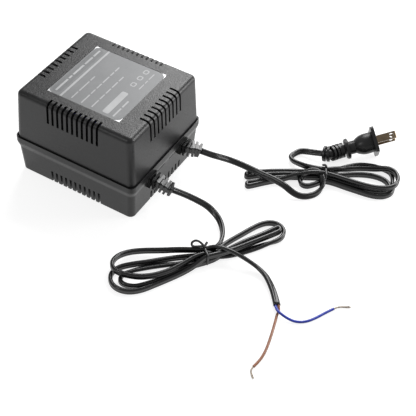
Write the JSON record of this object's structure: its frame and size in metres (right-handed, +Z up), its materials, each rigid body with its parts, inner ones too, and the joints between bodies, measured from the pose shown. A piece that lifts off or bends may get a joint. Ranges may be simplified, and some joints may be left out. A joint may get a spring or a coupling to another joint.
{
  "type": "low voltage transformer",
  "caption": "Vented two-part plastic case with a lamination transformer inside, an input cord with a two-blade plug and an output cord with bare ends, both in tied hanks.",
  "frame": {"origin": "middle of the case's foot, on the surface that it stands on", "axes": "+X towards the side that the cords leave, along the case's longer side; +Y towards the input side; +Z up"},
  "size_m": [0.3018, 0.2764, 0.083],
  "materials": {
    "case_plastic": "grained black moulding",
    "label_foil": "satin foil",
    "screw_steel": "zinc plated",
    "lamination_steel": "silicon steel plates with a dark edge",
    "bobbin_nylon": "natural nylon",
    "enamelled_copper": "enamelled copper wire",
    "coil_tape": "yellow film tape",
    "fuse_body": "pale sleeve",
    "lug_tin": "tinned brass",
    "brown_insulation": "brown insulation",
    "blue_insulation": "blue insulation",
    "sleeve_black": "shrink sleeve",
    "cord_rubber": "black flexible sheath",
    "relief_rubber": "black flexible moulding",
    "tie_plastic": "black coated wire",
    "blade_brass": "tarnished brass",
    "bare_copper": "stripped strands"
  },
  "bodies": {
    "root": {"lower_shell": "case_plastic", "upper_shell": "case_plastic", "rating_label": "label_foil", "case_screws": "screw_steel", "core_e_stack": "lamination_steel", "core_i_stack": "lamination_steel", "core_screws": "screw_steel", "bobbin": "bobbin_nylon", "primary_winding": "enamelled_copper", "secondary_winding": "enamelled_copper", "primary_tape": "coil_tape", "secondary_tape": "coil_tape", "thermal_fuse": "fuse_body", "primary_lugs": "lug_tin", "secondary_lugs": "lug_tin", "input_brown_lead": "brown_insulation", "input_blue_lead": "blue_insulation", "output_brown_lead": "brown_insulation", "output_blue_lead": "blue_insulation", "lead_sleeves": "sleeve_black", "input_strain_relief": "relief_rubber", "output_strain_relief": "relief_rubber", "input_cord_entry": "cord_rubber", "output_cord_entry": "cord_rubber", "input_cord_lead": "cord_rubber", "input_cord_hank": "cord_rubber", "input_cord_tail": "cord_rubber", "input_tie": "tie_plastic", "plug_body": "relief_rubber", "plug_blade_upper": "blade_brass", "plug_blade_lower": "blade_brass", "output_cord_lead": "cord_rubber", "output_cord_hank": "cord_rubber", "output_cord_tail": "cord_rubber", "output_tie": "tie_plastic", "blue_core": "blue_insulation", "brown_core": "brown_insulation", "blue_strands": "bare_copper", "brown_strands": "bare_copper"}
  },
  "joints": []
}
